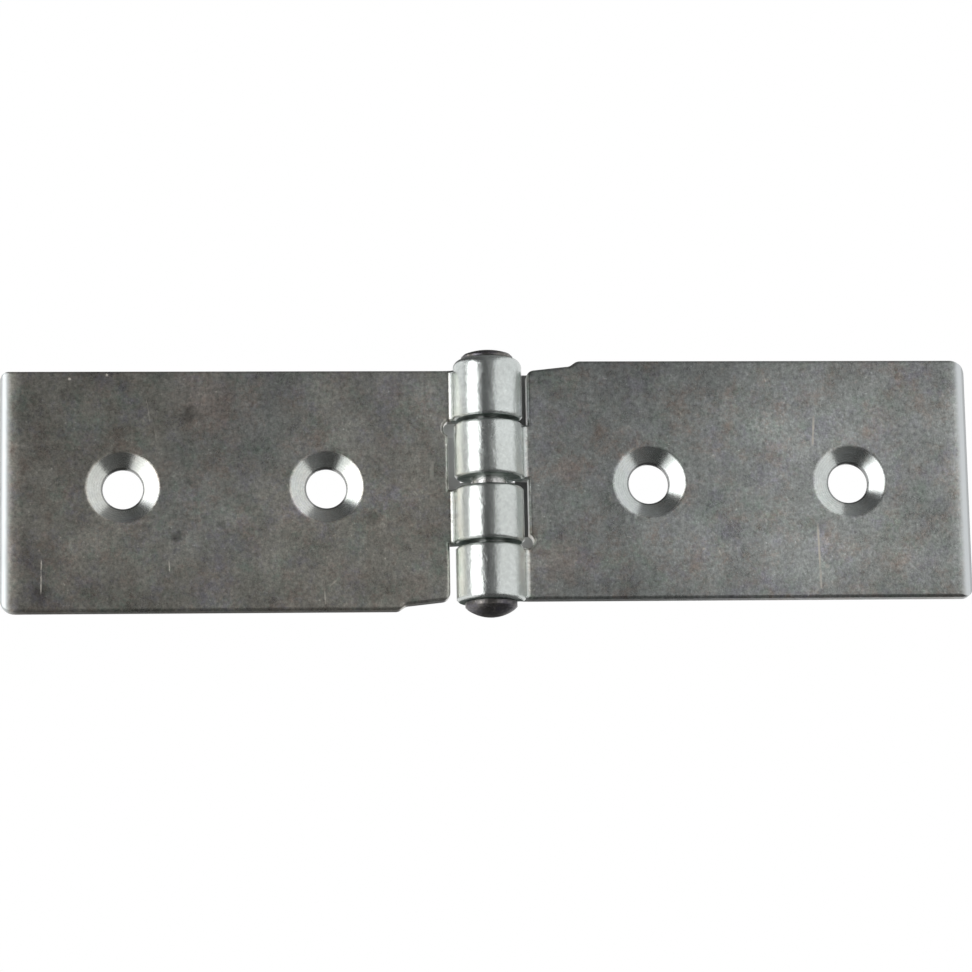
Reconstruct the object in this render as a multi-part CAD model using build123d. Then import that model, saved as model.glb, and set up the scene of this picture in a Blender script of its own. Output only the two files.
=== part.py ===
from build123d import *
import math
import os

# Furniture hinge: two leaves of folded sheet steel that turn on one pin, headed at both ends.
# Millimetres. The pin lies along Z, the leaves open flat along X and their countersunk faces look to -Y.

# Leaf blank
leaf_length = 60.0
leaf_width = 30.0
sheet = 2.0

# Pin and its heads
pin_diameter = 4.4
pin_clearance = 0.05
head_diameter = 6.4
head_play = 0.05
head_bevel = 0.3
upper_head_rim = 0.3
lower_head_rim = 0.6
lower_head_rise = 0.95

# Rolled knuckles, two on each leaf
inner_knuckle = 6.85
outer_knuckle = 6.425
knuckle_gap = 0.5
middle_gap = 1.25
bend_radius = 0.7
axis_in_front = 0.5
seam_gap = 0.5

# Ends of the barrel, which stand past the flush edges of the leaves
upper_end_stand = 1.1
upper_end_round = 1.05
lower_end_stand = 0.4
lower_end_bevel = 0.3

# Screw holes
hole_diameter = 5.0
countersink_diameter = 9.0
hole_land = 0.7
first_hole = 20.0
hole_pitch = 25.0
hole_line = 14.6

# Outline of the leaf
flush_corner = 1.1
outer_corner = 1.8
relief_reach = 10.8
relief_step = 0.7
relief_depth = 1.25
relief_run = 1.8
relief_corner = 1.0
bite_radius = 0.95
bite_depth = 0.55

# Edges rolled over by the punch, and bevelled where the sheet is wrapped
edge_roll = 0.4
rim_bevel = 0.3
end_roll_radius = 2.5
end_roll_width = 1.6

# Sizes that follow from those above
bore_radius = pin_diameter / 2 + pin_clearance
barrel_radius = bore_radius + sheet
outer_start = middle_gap / 2 + inner_knuckle + knuckle_gap
inner_start = -middle_gap / 2 - inner_knuckle
flush_edge = outer_start + outer_knuckle
outer_edge = flush_edge - leaf_width
front = axis_in_front
back = front + sheet
head_reach = lower_end_stand + lower_head_rim + lower_head_rise
upper_head_rise = head_reach - upper_end_stand - upper_head_rim
hole_places = [first_hole, first_hole + hole_pitch]

# Where the sheet leaves the plate, and how far it wraps round the pin before the seam
reach = barrel_radius + bend_radius
bend_line = math.sqrt(reach**2 - (front - bend_radius) ** 2)
bend_angle = math.degrees(math.atan2(bend_radius - front, bend_line))
tail = bend_radius + sheet + seam_gap
seam_angle = math.degrees(math.acos((barrel_radius**2 + reach**2 - tail**2) / (2 * barrel_radius * reach)))
wrap_start = bend_angle + 180
wrap = 360 - seam_angle


def is_outer(radius):
    """Whether an arc of the knuckle's section lies on the front side of the sheet."""
    return math.isclose(radius, bend_radius) or math.isclose(radius, barrel_radius)


def knuckle(start, length):
    """The sheet bends up off the plate, wraps the pin over the front and ends in a seam at the back."""
    bend = (-bend_line, front - bend_radius)
    bend_turn = 90 - bend_angle
    outside = CenterArc((0, 0), barrel_radius, wrap_start, wrap)
    bore = CenterArc((0, 0), bore_radius, wrap_start, wrap)
    inner_bend = CenterArc(bend, bend_radius, bend_angle, bend_turn)
    outer_bend = CenterArc(bend, bend_radius + sheet, bend_angle, bend_turn)
    free_end = Line(outside @ 1, bore @ 1)
    tab_end = -bend_line - edge_roll
    tab = Polyline(inner_bend @ 1, (tab_end, front), (tab_end, back), outer_bend @ 1)
    section = make_face([tab, inner_bend, outside, free_end, bore, outer_bend])
    rolled = extrude(section, length)
    rims = [edge for edge in rolled.edges().filter_by(GeomType.CIRCLE) if is_outer(edge.radius)]
    return Pos(0, 0, start) * chamfer(rims, rim_bevel)


def barrel_end(stand, soften, size):
    """The end of the outer knuckle, pushed past the flush edge when the sheet was rolled."""
    foot = flush_edge - rim_bevel
    top = flush_edge + stand
    profile = make_face(
        Polyline(
            (bore_radius, foot), (barrel_radius, foot), (barrel_radius, top), (bore_radius, top), close=True
        )
    )
    rim = profile.vertices().sort_by_distance(Vertex(barrel_radius, top, 0))[0]
    ring = revolve(Plane.XZ * soften(rim, size), Axis.Z, revolution_arc=wrap)
    return Rot(0, 0, wrap_start) * ring


def plate():
    """The flat of the leaf, from the bend line to the free end."""
    step_start = relief_reach - relief_run / 2
    step_end = relief_reach + relief_run / 2
    near = (-bend_line, outer_edge + relief_depth)
    step_top = (-step_start, outer_edge + relief_step)
    step_foot = (-step_end, outer_edge)
    outer_end = (-leaf_length, outer_edge)
    flush_end = (-leaf_length, flush_edge)
    flush_near = (-bend_line, flush_edge)
    straight = Polyline(step_foot, outer_end, flush_end, flush_near, near, step_top)
    s_curve = Bezier(
        step_top,
        (-relief_reach, outer_edge + relief_step),
        (-relief_reach, outer_edge),
        step_foot,
    )
    outline = make_face([straight, s_curve])
    for corner, radius in [
        (outer_end, outer_corner),
        (flush_end, flush_corner),
        (near, relief_corner),
    ]:
        place = Vertex(corner[0], corner[1], 0)
        outline = fillet(outline.vertices().sort_by_distance(place)[0], radius)
    bite_drop = math.sqrt(bite_depth * (2 * bite_radius - bite_depth))
    outline -= Pos(bite_radius - bite_depth - bend_line, outer_start - bite_drop) * Circle(bite_radius)
    flat = extrude(Plane((0, back, 0), x_dir=(1, 0, 0), z_dir=(0, -1, 0)) * outline, sheet)
    return fillet(flat.faces().sort_by(Axis.Y)[0].edges(), edge_roll)


def end_roll():
    """What the punch drags down along the front of the free end."""
    centre = (-leaf_length + end_roll_width, front + end_roll_radius)
    drop = end_roll_radius - math.sqrt(end_roll_radius**2 - end_roll_width**2)
    turn = math.degrees(math.asin(end_roll_width / end_roll_radius))
    roll = CenterArc(centre, end_roll_radius, 270 - turn, turn)
    rest = Polyline(roll @ 1, (-leaf_length, front), (-leaf_length, front + drop))
    return Pos(0, 0, outer_edge) * extrude(make_face([roll, rest]), leaf_width)


def screw_hole(distance):
    """A countersunk hole with a short straight land at the back."""
    cone = Cone(
        countersink_diameter / 2,
        hole_diameter / 2,
        sheet - hole_land,
        align=(Align.CENTER, Align.CENTER, Align.MIN),
    )
    bore = Cylinder(hole_diameter / 2, sheet, align=(Align.CENTER, Align.CENTER, Align.MIN))
    return Pos(-distance, front, flush_edge - hole_line) * Rot(-90, 0, 0) * (cone + bore)


def leaf(end):
    """One leaf, as it lies on the -X side with its flush edge up."""
    body = plate() - end_roll()
    body += [knuckle(outer_start, outer_knuckle), knuckle(inner_start, inner_knuckle)]
    body += end
    body -= [screw_hole(distance) for distance in hole_places]
    return body


def pin_half(end_stand, rim, rise):
    """Half of the pin, turned about Z from the middle up, with a rim, a bevel and a dome at its end."""
    seat = flush_edge + end_stand + head_play
    shank_radius = pin_diameter / 2
    head_radius = head_diameter / 2
    dome_width = head_radius - head_bevel
    dome_start = (dome_width, seat + rim + head_bevel)
    dome_radius = (dome_width**2 + rise**2) / (2 * rise)
    dome = RadiusArc(dome_start, (0, dome_start[1] + rise), -dome_radius)
    side = Polyline(
        dome @ 1,
        (0, 0),
        (shank_radius, 0),
        (shank_radius, seat),
        (head_radius, seat),
        (head_radius, seat + rim),
        dome_start,
    )
    return revolve(Plane.XZ * make_face([side, dome]), Axis.Z)


upper_end = barrel_end(upper_end_stand, fillet, upper_end_round)
lower_end = barrel_end(lower_end_stand, chamfer, lower_end_bevel)
upper_pin = pin_half(upper_end_stand, upper_head_rim, upper_head_rise)
lower_pin = pin_half(lower_end_stand, lower_head_rim, lower_head_rise)
parts = {
    "left_leaf": leaf(upper_end),
    "right_leaf": Rot(0, 180, 0) * leaf(lower_end),
    "hinge_pin": upper_pin + Rot(0, 180, 0) * lower_pin,
}
os.makedirs("parts", exist_ok=True)
for name, shape in parts.items():
    export_step(shape, f"parts/{name}.step")
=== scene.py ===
import math

import bpy
from mathutils import Matrix, Vector


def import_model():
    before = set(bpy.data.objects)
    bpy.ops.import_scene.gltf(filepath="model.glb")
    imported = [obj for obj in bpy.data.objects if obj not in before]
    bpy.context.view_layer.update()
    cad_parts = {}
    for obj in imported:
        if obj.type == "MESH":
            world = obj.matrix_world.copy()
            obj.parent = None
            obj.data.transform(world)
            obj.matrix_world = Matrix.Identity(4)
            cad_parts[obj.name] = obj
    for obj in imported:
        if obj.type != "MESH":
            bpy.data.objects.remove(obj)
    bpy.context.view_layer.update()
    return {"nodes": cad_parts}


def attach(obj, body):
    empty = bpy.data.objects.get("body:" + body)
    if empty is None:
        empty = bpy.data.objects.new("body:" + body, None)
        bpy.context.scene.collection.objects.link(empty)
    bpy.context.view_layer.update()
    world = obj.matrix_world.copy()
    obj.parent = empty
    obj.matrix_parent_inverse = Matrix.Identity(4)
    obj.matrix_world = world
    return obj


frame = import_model()
MM = 0.001

# Sizes of the hinge that the materials are placed by, in metres
BARREL_RADIUS = 4.25 * MM
FRONT_FACE = 0.5 * MM
FLUSH_EDGE = 14.4 * MM
LEAF_END = 60.0 * MM
SINK_RADIUS = 4.6 * MM
BORE_RADIUS = 2.5 * MM
TURNING_PITCH = 0.3 * MM
ROLL_WIDTH = 1.5 * MM
RUN_IN_WIDTH = 3.0 * MM
DRAG_WIDTH = 2.8 * MM

# Colours of the plated sheet
WARM_ZINC = (0.575, 0.56, 0.5, 1.0)
COOL_ZINC = (0.525, 0.55, 0.535, 1.0)
BROWN_STAIN = (0.53, 0.43, 0.37, 1.0)
GREEN_STAIN = (0.43, 0.52, 0.45, 1.0)
VIOLET_STAIN = (0.47, 0.46, 0.53, 1.0)
RUST = (0.55, 0.45, 0.40, 1.0)
BRIGHT_ZINC = (0.625, 0.665, 0.655, 1.0)
# Painted highlight: the right leaf's rolled free end is lighter than the left's
RIGHT_ROLL_HIGHLIGHT = (0.66, 0.69, 0.705, 1.0)
LEFT_ROLL = (0.52, 0.55, 0.56, 1.0)
BARE_SCRATCH = (0.78, 0.74, 0.66, 1.0)
SHEARED_STEEL = (0.16, 0.16, 0.16, 1.0)
# Cut end faces of the knuckles: darker bare edge, with painted shade for the gaps between knuckles
KNUCKLE_END_AND_SHADE = (0.2, 0.27, 0.235, 1.0)
BORE_SHADE = (0.2, 0.2, 0.2, 1.0)

# Strips of painted shade behind the slots, in millimetres: where they begin and end beside the barrel, and
# how far back
STRIP_INNER, STRIP_OUTER, STRIP_BACK = 3.42, 7.5, 2.56
# Greys of those strips, from pale to dark: painted shade for the ground seen through the slots
PALE_SHADE, SHADED, DARK_SHADE = 0.86, 0.7, 0.2

# Screw holes and marks of handling on the leaves, in millimetres along X and Z
HOLE_PLACES = [(-20, -0.2), (-45, -0.2), (20, 0.2), (45, 0.2)]
SCRATCHES = [
    ((-54.9, -8.9), (-54.95, -13.6), 0.11, 0.8),
    ((-42.1, 11.0), (-41.6, 7.6), 0.08, 0.4),
    ((-41.3, 8.2), (-40.8, 5.3), 0.07, 0.3),
    ((-39.4, -9.3), (-39.3, -10.8), 0.1, 0.7),
    ((-20.4, -13.1), (-20.3, -15.0), 0.1, 0.7),
    ((-19.8, -12.7), (-18.7, -11.7), 0.1, 0.6),
    ((40.8, 8.9), (40.5, 4.5), 0.19, 1.0),
    ((40.8, -4.8), (41.0, -13.7), 0.19, 1.0),
    ((28.2, -8.0), (28.7, -9.2), 0.1, 0.6),
    ((-7.0, 12.8), (-7.0, 11.5), 0.4, 0.4),
    ((-7.0, 3.2), (-7.0, 0.3), 0.35, 0.3),
    ((-10.6, 8.6), (-10.5, 7.2), 0.3, 0.25),
]
SMUDGES = [
    ((-37.1, 8.8), 1.3),
    ((-36.8, 0.4), 1.0),
    ((-38.3, -6.2), 1.1),
    ((-32.9, -5.0), 0.8),
    ((-55.0, -13.4), 1.6),
    ((-14.4, -4.2), 1.2),
]
STAINS = [((9.0, -10.0), 3.5), ((9.5, 1.5), 2.5), ((-9.0, -12.5), 2.5), ((-34.0, 10.0), 6.0)]
NICKS = [(-51.5, 13.4), (-46.9, 13.9), (41.8, -10.5), (-20.0, -9.0), (26.5, -8.2), (-6.2, -15.0)]


class Graph:
    """A short way to write a material's nodes."""

    def __init__(self, name):
        self.material = bpy.data.materials.new(name)
        self.material.use_nodes = True
        self.tree = self.material.node_tree
        self.tree.nodes.clear()
        self.output = self.tree.nodes.new("ShaderNodeOutputMaterial")
        self.coords = self.tree.nodes.new("ShaderNodeTexCoord")
        self.place = self.coords.outputs["Object"]
        self.x, self.y, self.z = self.split(self.place)
        self.nx, self.ny, self.nz = self.split(self.coords.outputs["Normal"])

    def feed(self, socket, value):
        if isinstance(value, bpy.types.NodeSocket):
            self.tree.links.new(value, socket)
        else:
            socket.default_value = value

    def split(self, vector):
        node = self.tree.nodes.new("ShaderNodeSeparateXYZ")
        self.feed(node.inputs[0], vector)
        return node.outputs

    def math(self, operation, *values, clamp=False):
        node = self.tree.nodes.new("ShaderNodeMath")
        node.operation = operation
        node.use_clamp = clamp
        for socket, value in zip(node.inputs, values):
            self.feed(socket, value)
        return node.outputs[0]

    def add(self, a, b):
        return self.math("ADD", a, b)

    def times(self, a, b):
        return self.math("MULTIPLY", a, b)

    def ramp(self, value, low, high, to_low=0.0, to_high=1.0, smooth=True):
        node = self.tree.nodes.new("ShaderNodeMapRange")
        node.interpolation_type = "SMOOTHSTEP" if smooth else "LINEAR"
        for socket, given in zip(node.inputs, (value, low, high, to_low, to_high)):
            self.feed(socket, given)
        return node.outputs[0]

    def stretch(self, x, y, z):
        node = self.tree.nodes.new("ShaderNodeVectorMath")
        node.operation = "MULTIPLY"
        self.feed(node.inputs[0], self.place)
        node.inputs[1].default_value = (x, y, z)
        return node.outputs[0]

    def noise(self, scale, detail=2.0, roughness=0.5, shift=0.0, vector=None):
        node = self.tree.nodes.new("ShaderNodeTexNoise")
        node.noise_dimensions = "4D"
        self.feed(node.inputs["Vector"], vector or self.place)
        node.inputs["W"].default_value = shift
        node.inputs["Scale"].default_value = scale
        node.inputs["Detail"].default_value = detail
        node.inputs["Roughness"].default_value = roughness
        return node.outputs["Fac"]

    def tint(self, base, colour, amount):
        node = self.tree.nodes.new("ShaderNodeMix")
        node.data_type = "RGBA"
        self.feed(node.inputs[0], amount)
        self.feed(node.inputs[6], base)
        self.feed(node.inputs[7], colour)
        return node.outputs[2]

    def shade(self, base, factor):
        node = self.tree.nodes.new("ShaderNodeVectorMath")
        node.operation = "SCALE"
        self.feed(node.inputs[0], base)
        self.feed(node.inputs[3], factor)
        return node.outputs[0]

    def bump(self, height, strength, distance, normal=None):
        node = self.tree.nodes.new("ShaderNodeBump")
        node.inputs["Strength"].default_value = strength
        self.feed(node.inputs["Distance"], distance)
        self.feed(node.inputs["Height"], height)
        if normal:
            self.feed(node.inputs["Normal"], normal)
        return node.outputs[0]

    def rounded(self, radius):
        node = self.tree.nodes.new("ShaderNodeBevel")
        node.samples = 6
        self.feed(node.inputs["Radius"], radius)
        return node.outputs[0]

    def metal(self, colour, roughness, normal):
        node = self.tree.nodes.new("ShaderNodeBsdfPrincipled")
        node.inputs["Metallic"].default_value = 1.0
        self.feed(node.inputs["Base Color"], colour)
        self.feed(node.inputs["Roughness"], roughness)
        self.feed(node.inputs["Normal"], normal)
        self.tree.links.new(node.outputs[0], self.output.inputs["Surface"])
        return self.material


def scratch(g, start, end, width, strength):
    """As strong as given along a line on the leaf from start to end, in mm, and nought beside it."""
    start, end = Vector(start) * MM, Vector(end) * MM
    along = (end - start).normalized()
    dx = g.math("SUBTRACT", g.x, start.x)
    dz = g.math("SUBTRACT", g.z, start.y)
    run = g.add(g.times(dx, along.x), g.times(dz, along.y))
    off = g.math("ABSOLUTE", g.math("SUBTRACT", g.times(dx, along.y), g.times(dz, along.x)))
    length = (end - start).length
    line = g.ramp(off, width * MM, 0.3 * width * MM)
    line = g.times(line, g.ramp(run, 0.0, 0.15 * length, 0.0, strength))
    return g.times(line, g.ramp(run, length, 0.85 * length))


def spot(g, place, radius, ragged):
    """One in the middle of a round mark on the leaf, in mm, nought outside it."""
    dx = g.math("SUBTRACT", g.x, place[0] * MM)
    dz = g.math("SUBTRACT", g.z, place[1] * MM)
    reach = g.math("SQRT", g.add(g.times(dx, dx), g.times(dz, dz)))
    reach = g.add(reach, g.times(g.math("SUBTRACT", ragged, 0.5), 2.2 * radius * MM))
    return g.ramp(reach, radius * MM, 0.2 * radius * MM)


def most(g, masks):
    """The strongest of several masks."""
    made = masks[0]
    for mask in masks[1:]:
        made = g.math("MAXIMUM", made, mask)
    return made


def plated_sheet():
    """Dull zinc plate: mottled and speckled on the flats, brighter where the sheet is rolled or pressed, with
    painted light and shade on the leaves, a rolled end and the knuckle end faces.
    """
    g = Graph("plated_sheet")
    from_axis = g.math("SQRT", g.add(g.times(g.x, g.x), g.times(g.y, g.y)))
    barrel = g.ramp(from_axis, BARREL_RADIUS + 0.6 * MM, BARREL_RADIUS + 0.2 * MM)
    reaches = []
    for x, z in HOLE_PLACES:
        dx = g.math("SUBTRACT", g.x, x * MM)
        dz = g.math("SUBTRACT", g.z, z * MM)
        reaches.append(g.math("SQRT", g.add(g.times(dx, dx), g.times(dz, dz))))
    from_hole = reaches[0]
    for reach in reaches[1:]:
        from_hole = g.math("MINIMUM", from_hole, reach)
    forward = g.ramp(g.ny, 0.4, 0.1)
    sink = g.times(forward, g.ramp(from_hole, SINK_RADIUS, SINK_RADIUS - 0.3 * MM))
    sink = g.times(sink, g.ramp(g.y, FRONT_FACE, FRONT_FACE + 0.15 * MM))
    bore_rim = g.times(sink, g.ramp(from_hole, BORE_RADIUS + 0.3 * MM, BORE_RADIUS + 0.1 * MM))
    turned = g.times(sink, g.math("SINE", g.times(from_hole, math.tau / TURNING_PITCH)))
    bright = g.math("MAXIMUM", barrel, sink)
    flat = g.math("SUBTRACT", 1.0, bright, clamp=True)
    front = g.times(flat, forward)

    from_middle = g.math("ABSOLUTE", g.x)
    rolled_end = g.times(forward, g.ramp(from_middle, LEAF_END - ROLL_WIDTH, LEAF_END - 0.7 * MM))
    left = g.ramp(g.x, MM, -MM)
    run_in = g.times(left, g.ramp(from_middle, LEAF_END - RUN_IN_WIDTH, LEAF_END - 1.2 * MM))
    run_in = g.times(run_in, g.ramp(from_middle, LEAF_END - 0.6 * MM, LEAF_END - 1.1 * MM))
    sheared = g.ramp(from_middle, LEAF_END - 0.42 * MM, LEAF_END - 0.2 * MM)

    wide = g.noise(24.0, 3.0, 0.5, shift=9.0)
    warm = g.add(g.noise(22.0, 3.0, 0.5, shift=14.0), g.times(g.x, 2.5))
    clouds = g.noise(90.0, 8.0, 0.88)
    grain = g.noise(1900.0, 3.0, 0.8, shift=2.0)
    speck = g.noise(2600.0, 1.0, 0.5, shift=5.0)
    brown = g.noise(160.0, 8.0, 0.9, shift=3.0)
    green = g.noise(170.0, 8.0, 0.9, shift=7.0)
    violet = g.noise(190.0, 8.0, 0.9, shift=11.0)
    ragged = g.noise(700.0, 3.0, 0.6, shift=8.0)

    stain = g.add(g.times(flat, 0.7), 0.3)
    hue = g.add(stain, g.times(sink, 0.6))
    colour = g.tint(WARM_ZINC, COOL_ZINC, g.ramp(warm, 0.38, 0.62))
    colour = g.tint(colour, BROWN_STAIN, g.times(hue, g.ramp(brown, 0.47, 0.65, 0.0, 0.85)))
    colour = g.tint(colour, GREEN_STAIN, g.times(hue, g.ramp(green, 0.48, 0.66, 0.0, 0.8)))
    colour = g.tint(colour, VIOLET_STAIN, g.times(hue, g.ramp(violet, 0.48, 0.66, 0.0, 0.8)))
    rust = most(g, [spot(g, place, radius, ragged) for place, radius in STAINS])
    colour = g.tint(colour, RUST, g.times(g.times(rust, front), 0.4))
    colour = g.tint(colour, BRIGHT_ZINC, g.add(g.times(barrel, 0.8), g.times(sink, 0.55)))
    colour = g.tint(colour, BORE_SHADE, g.times(bore_rim, 0.75))
    # Painted highlight on the right leaf's rolled free end, lighter than the left leaf's
    roll_highlight_colour = g.tint(RIGHT_ROLL_HIGHLIGHT, LEFT_ROLL, left)
    colour = g.tint(colour, roll_highlight_colour, g.times(rolled_end, 0.9))
    tone = g.ramp(clouds, 0.3, 0.7, 0.55, 1.39, smooth=False)
    tone = g.times(tone, g.ramp(wide, 0.3, 0.7, 0.8, 1.2, smooth=False))
    tone = g.times(tone, g.ramp(grain, 0.3, 0.7, 0.62, 1.36, smooth=False))
    # Painted light and shade: darker towards both leaf ends, more so at the right end, and lighter over a
    # broad patch in the middle of each leaf
    tone = g.times(tone, g.ramp(from_middle, 40.0 * MM, LEAF_END, 1.0, 0.86))
    tone = g.times(tone, g.ramp(g.x, 44.0 * MM, LEAF_END, 1.0, 0.9))
    tone = g.times(tone, g.ramp(spot(g, (32.0, 1.0), 24.0, 0.5), 0.0, 1.0, 1.0, 1.12, smooth=False))
    tone = g.times(tone, g.ramp(spot(g, (-30.0, 0.0), 18.0, 0.5), 0.0, 1.0, 1.0, 1.16, smooth=False))
    tone = g.times(tone, g.ramp(speck, 0.66, 0.80, 1.0, 1.5))
    # Painted shade: darker towards the long top and bottom edges, more on the right leaf
    margin_shade = g.ramp(g.x, -10.0 * MM, 10.0 * MM, 0.93, 0.8)
    tone = g.times(tone, g.ramp(g.math("ABSOLUTE", g.z), 8.0 * MM, 15.0 * MM, 1.0, margin_shade))
    tone = g.ramp(rolled_end, 0.0, 1.0, tone, 0.95, smooth=False)
    tone = g.add(g.times(tone, stain), g.math("SUBTRACT", 1.0, stain))
    tone = g.times(tone, g.ramp(turned, -1.0, 1.0, 0.96, 1.04, smooth=False))
    smudges = most(g, [spot(g, place, radius, ragged) for place, radius in SMUDGES])
    tone = g.times(tone, g.ramp(g.times(smudges, front), 0.0, 1.0, 1.0, 0.66, smooth=False))
    marks = most(g, [scratch(g, *line) for line in SCRATCHES] + [spot(g, at, 0.3, ragged) for at in NICKS])
    marks = g.times(g.times(marks, front), g.ramp(ragged, 0.36, 0.5, 0.45, 1.0))
    colour = g.shade(colour, tone)
    colour = g.tint(colour, BARE_SCRATCH, marks)
    colour = g.tint(colour, SHEARED_STEEL, g.times(sheared, 0.35))
    # The knuckles' cut end faces: darker bare edge, plus painted shade for the gaps between knuckles
    end_face = g.times(barrel, g.ramp(g.math("ABSOLUTE", g.nz), 0.75, 0.95))
    colour = g.tint(colour, KNUCKLE_END_AND_SHADE, g.times(end_face, g.ramp(ragged, 0.38, 0.6, 1.0, 0.35)))

    roughness = g.ramp(clouds, 0.3, 0.7, 0.25, 0.33, smooth=False)
    roughness = g.math("SUBTRACT", roughness, g.add(g.times(barrel, 0.04), g.times(sink, 0.07)))
    roughness = g.add(roughness, g.add(g.times(rolled_end, 0.1), g.times(end_face, 0.25)))
    roughness = g.add(roughness, g.add(g.times(marks, 0.35), g.times(run_in, 0.2)))

    dents = g.noise(1.0, 3.0, 0.5, shift=4.0, vector=g.stretch(900.0, 900.0, 500.0))
    soft = g.math("MAXIMUM", barrel, g.ramp(from_hole, 5.4 * MM, 5.0 * MM))
    normal = g.rounded(g.ramp(soft, 0.0, 1.0, 0.2 * MM, 0.4 * MM))
    normal = g.bump(grain, 0.5, g.ramp(sink, 0.0, 1.0, 0.05 * MM, 0.015 * MM, smooth=False), normal)
    normal = g.bump(g.times(dents, barrel), 0.6, 0.11 * MM, normal)
    drag = g.math("MAXIMUM", g.math("SUBTRACT", from_middle, LEAF_END - DRAG_WIDTH), 0.0)
    drop = g.times(g.times(drag, drag), g.times(forward, g.ramp(left, 0.0, 1.0, -0.022 / MM, 0.0)))
    normal = g.bump(drop, 1.0, 1.0, normal)
    return g.metal(colour, roughness, normal)


def pin_steel():
    """Dark, stained steel on the peened heads, bright on the shank."""
    g = Graph("pin_steel")
    height = g.math("ABSOLUTE", g.z)
    head = g.ramp(height, FLUSH_EDGE - 0.3 * MM, FLUSH_EDGE)
    clouds = g.noise(420.0, 4.0, 0.7, shift=1.0)
    grain = g.noise(1700.0, 3.0, 0.8, shift=6.0)
    violet = g.noise(380.0, 4.0, 0.7, shift=12.0)
    colour = g.tint((0.55, 0.55, 0.54, 1.0), (0.15, 0.142, 0.135, 1.0), head)
    colour = g.tint(colour, (0.13, 0.125, 0.15, 1.0), g.times(head, g.ramp(violet, 0.45, 0.62, 0.0, 0.8)))
    colour = g.tint(colour, (0.36, 0.34, 0.31, 1.0), g.times(head, g.ramp(grain, 0.54, 0.7, 0.0, 0.6)))
    colour = g.shade(colour, g.ramp(clouds, 0.3, 0.7, 0.55, 1.45, smooth=False))
    colour = g.shade(colour, g.ramp(grain, 0.3, 0.7, 0.75, 1.25, smooth=False))
    roughness = g.add(g.times(head, 0.12), g.ramp(clouds, 0.3, 0.7, 0.3, 0.22, smooth=False))
    normal = g.bump(clouds, 0.6, 0.2 * MM, g.rounded(0.2 * MM))
    return g.metal(colour, roughness, g.bump(grain, 0.4, 0.03 * MM, normal))


def card(name, left, right, dark, light, below):
    """A plain card which goes from one grey to another along X, and dims towards its foot."""
    g = Graph(name)
    glow = g.tree.nodes.new("ShaderNodeEmission")
    grey = g.ramp(g.x, left, right, dark, light, smooth=False)
    g.feed(glow.inputs["Strength"], g.times(grey, g.ramp(g.z, -0.3, 0.0, below, 1.0)))
    g.tree.links.new(glow.outputs[0], g.output.inputs["Surface"])
    return g.material


def dress():
    """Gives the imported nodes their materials."""
    looks = {"left_leaf": plated_sheet(), "hinge_pin": pin_steel()}
    looks["right_leaf"] = looks["left_leaf"]
    for name, material in looks.items():
        node = frame["nodes"][name]
        node.data.materials.clear()
        node.data.materials.append(material)


def mesh_object(name, vertices, faces, material):
    mesh = bpy.data.meshes.new(name)
    mesh.from_pydata(vertices, [], faces)
    mesh.materials.append(material)
    made = bpy.data.objects.new(name, mesh)
    bpy.context.collection.objects.link(made)
    return made


def show_in_reflections(made):
    made.visible_camera = False
    made.visible_diffuse = False
    made.visible_shadow = False


def dark_ring():
    """A dark band round the hinge, wider in front, seen only in its reflections, as a studio's flag is."""
    depth, rise = 0.9, 0.33
    front, above, below, behind = (0.6, 0.27), (0.34, 0.17), (0.14, 0.40), (0.12, 0.12)
    steps = 96
    vertices = []
    for i in range(steps):
        turn = math.tau * i / steps
        y, z = -depth * math.cos(turn), rise * math.sin(turn)
        share = abs(math.cos(turn)) ** 1.5
        near = above if z > 0 else below
        far = front if y < 0 else behind
        left, right = [n + (f - n) * share for n, f in zip(near, far)]
        vertices += [(-left, y, z), (right, y, z)]
    faces = []
    for i in range(steps):
        a, b = 2 * i, 2 * ((i + 1) % steps)
        faces.append((a, a + 1, b + 1, b))
    grey = card("dark_card", -0.15, 0.2, 0.09, 0.31, below=0.5)
    show_in_reflections(mesh_object("dark_ring", vertices, faces, grey))


def grey_card(angle, distance, width, height):
    """An upright grey card beside the hinge, at an angle from the way its front faces look."""
    turn = math.radians(angle)
    middle = Vector((math.sin(turn), -math.cos(turn), 0.0)) * distance
    across = Vector((math.cos(turn), math.sin(turn), 0.0)) * width / 2
    rise = Vector((0.0, 0.0, height / 2))
    corners = [middle - across - rise, middle + across - rise, middle + across + rise, middle - across + rise]
    grey = card("grey_card", -distance, 0.0, 0.6, 0.65, below=1.0)
    show_in_reflections(mesh_object("grey_card", corners, [(0, 1, 2, 3)], grey))


def painted_slot_shade(body, grey, outlines):
    """Matt strips just behind a leaf, in greys that paint the shadowed ground seen through its slots; clear
    from behind.
    """
    g = Graph("painted_slot_shade")
    matt = g.tree.nodes.new("ShaderNodeBsdfDiffuse")
    matt.inputs["Color"].default_value = (grey, grey, grey, 1.0)
    clear = g.tree.nodes.new("ShaderNodeBsdfTransparent")
    side = g.tree.nodes.new("ShaderNodeNewGeometry")
    mix = g.tree.nodes.new("ShaderNodeMixShader")
    g.feed(mix.inputs[0], side.outputs["Backfacing"])
    g.feed(mix.inputs[1], matt.outputs[0])
    g.feed(mix.inputs[2], clear.outputs[0])
    g.tree.links.new(mix.outputs[0], g.output.inputs["Surface"])
    vertices, faces = [], []
    for x0, x1, z0, z1 in outlines:
        n = len(vertices)
        vertices += [Vector((x, STRIP_BACK, z)) * MM for x, z in ((x0, z0), (x1, z0), (x1, z1), (x0, z1))]
        faces.append((n, n + 1, n + 2, n + 3))
    made = mesh_object(f"painted_slot_shade_{body}", vertices, faces, g.material)
    made.visible_diffuse = False
    made.visible_glossy = False
    made.visible_shadow = False
    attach(made, body)


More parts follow.
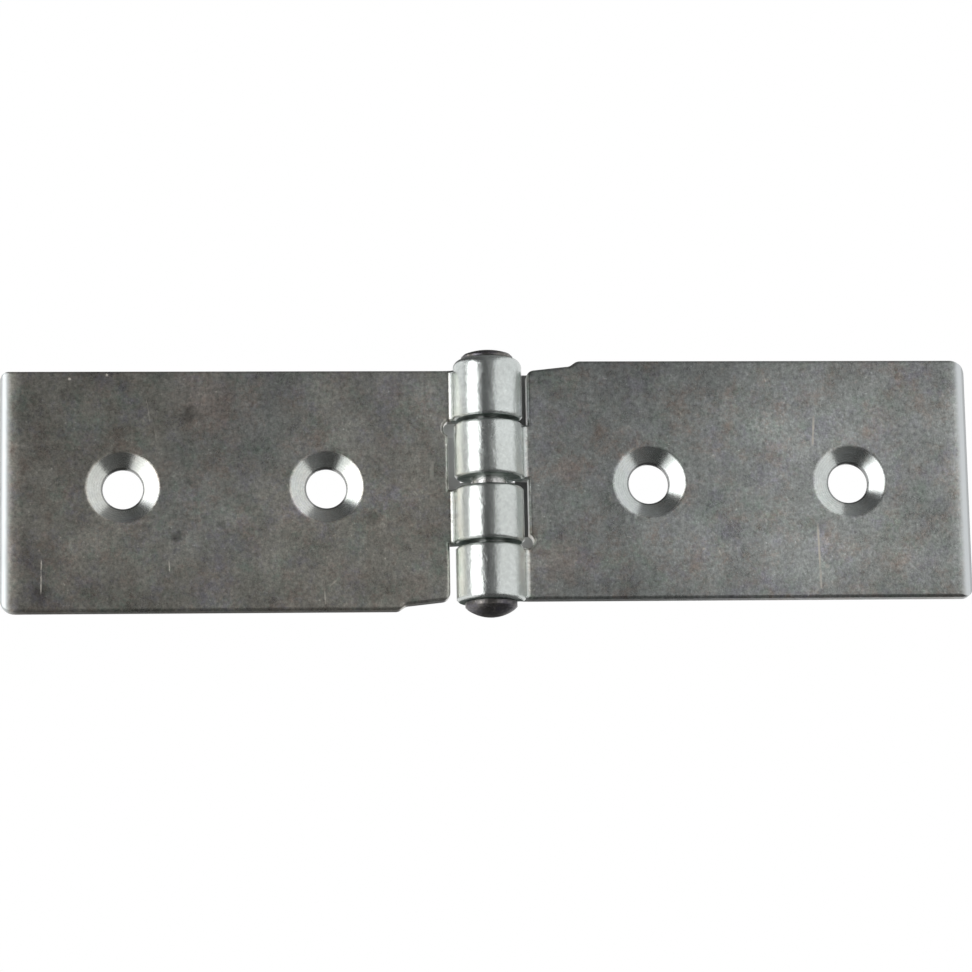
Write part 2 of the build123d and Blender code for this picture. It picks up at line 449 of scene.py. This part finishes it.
def looked_at(tree):
    """One for rays that look at the background, straight or in a surface, and nought for those that light."""
    path = tree.nodes.new("ShaderNodeLightPath")
    seen = path.outputs["Is Camera Ray"]
    for ray in ("Is Glossy Ray", "Is Transmission Ray"):
        either = tree.nodes.new("ShaderNodeMath")
        either.operation = "MAXIMUM"
        tree.links.new(seen, either.inputs[0])
        tree.links.new(path.outputs[ray], either.inputs[1])
        seen = either.outputs[0]
    return seen


def floor(height):
    """A pale floor, nearly white where it is looked at, which keeps the hinge's shadow."""
    g = Graph("floor")
    matt = g.tree.nodes.new("ShaderNodeBsdfDiffuse")
    matt.inputs["Color"].default_value = (0.86, 0.86, 0.85, 1.0)
    glow = g.tree.nodes.new("ShaderNodeEmission")
    g.feed(glow.inputs["Strength"], g.times(looked_at(g.tree), 0.45))
    both = g.tree.nodes.new("ShaderNodeAddShader")
    g.tree.links.new(matt.outputs[0], both.inputs[0])
    g.tree.links.new(glow.outputs[0], both.inputs[1])
    g.tree.links.new(both.outputs[0], g.output.inputs["Surface"])
    size = 6.0
    corners = [(-size, -size, height), (size, -size, height), (size, size, height), (-size, size, height)]
    mesh_object("floor", corners, [(0, 1, 2, 3)], g.material)


def softbox(name, place, width, height, radiance):
    """An area lamp of the given radiance that looks at the hinge."""
    lamp = bpy.data.lights.new(name, "AREA")
    lamp.shape = "RECTANGLE"
    lamp.size = width
    lamp.size_y = height
    lamp.energy = radiance * width * height * math.pi
    made = bpy.data.objects.new(name, lamp)
    made.location = place
    made.rotation_mode = "QUATERNION"
    made.rotation_quaternion = (-Vector(place)).to_track_quat("-Z", "Y")
    made.visible_camera = False
    bpy.context.collection.objects.link(made)


def world():
    """White where the camera or a reflection sees it, dimmer as a light."""
    made = bpy.data.worlds.new("studio")
    bpy.context.scene.world = made
    made.use_nodes = True
    tree = made.node_tree
    background = tree.nodes["Background"]
    background.inputs["Color"].default_value = (1.0, 1.0, 1.0, 1.0)
    strength = tree.nodes.new("ShaderNodeMapRange")
    strength.inputs["To Min"].default_value = 0.6
    strength.inputs["To Max"].default_value = 1.0
    tree.links.new(looked_at(tree), strength.inputs["Value"])
    tree.links.new(strength.outputs[0], background.inputs["Strength"])


def camera():
    """The photo's view: from half a metre in front, below and to the left, and slightly rolled."""
    data = bpy.data.cameras.new("camera")
    data.sensor_width = 36.0
    data.lens = 150.2
    data.clip_start = 0.01
    made = bpy.data.objects.new("camera", data)
    right = Vector((0.99693, -0.07597, -0.01901))
    up = Vector((0.00411, -0.19171, 0.98144))
    back = Vector((-0.07821, -0.97851, -0.19081))
    turn = Matrix((right, up, back)).transposed().to_4x4()
    made.matrix_world = Matrix.Translation(Vector((-39.482, -489.164, -95.708)) * MM) @ turn
    bpy.context.collection.objects.link(made)
    bpy.context.scene.camera = made


dress()
world()
dark_ring()
grey_card(-83.0, 0.6, 0.2, 1.2)
# Painted shade seen through the slots: grey strips behind each leaf, darkest behind the swinging leaf
left_strip, right_strip = (-STRIP_OUTER, -STRIP_INNER), (STRIP_INNER, STRIP_OUTER)
painted_slot_shade("fixed_leaf", SHADED, [(*left_strip, -0.8, 6.3), (-STRIP_INNER, STRIP_INNER, -0.6, 0.6)])
painted_slot_shade("fixed_leaf", PALE_SHADE, [(*left_strip, 6.3, 8.2)])
painted_slot_shade("swinging_leaf", PALE_SHADE, [(*right_strip, -8.2, -6.3)])
painted_slot_shade("swinging_leaf", DARK_SHADE, [(*right_strip, -6.3, 0.8), (*right_strip, 7.3, 14.2)])
floor(-0.35)
softbox("left_softbox", (-0.563, -0.413, 0.0), 0.52, 1.0, 1.65)
camera()
bpy.context.scene.view_settings.view_transform = "Standard"
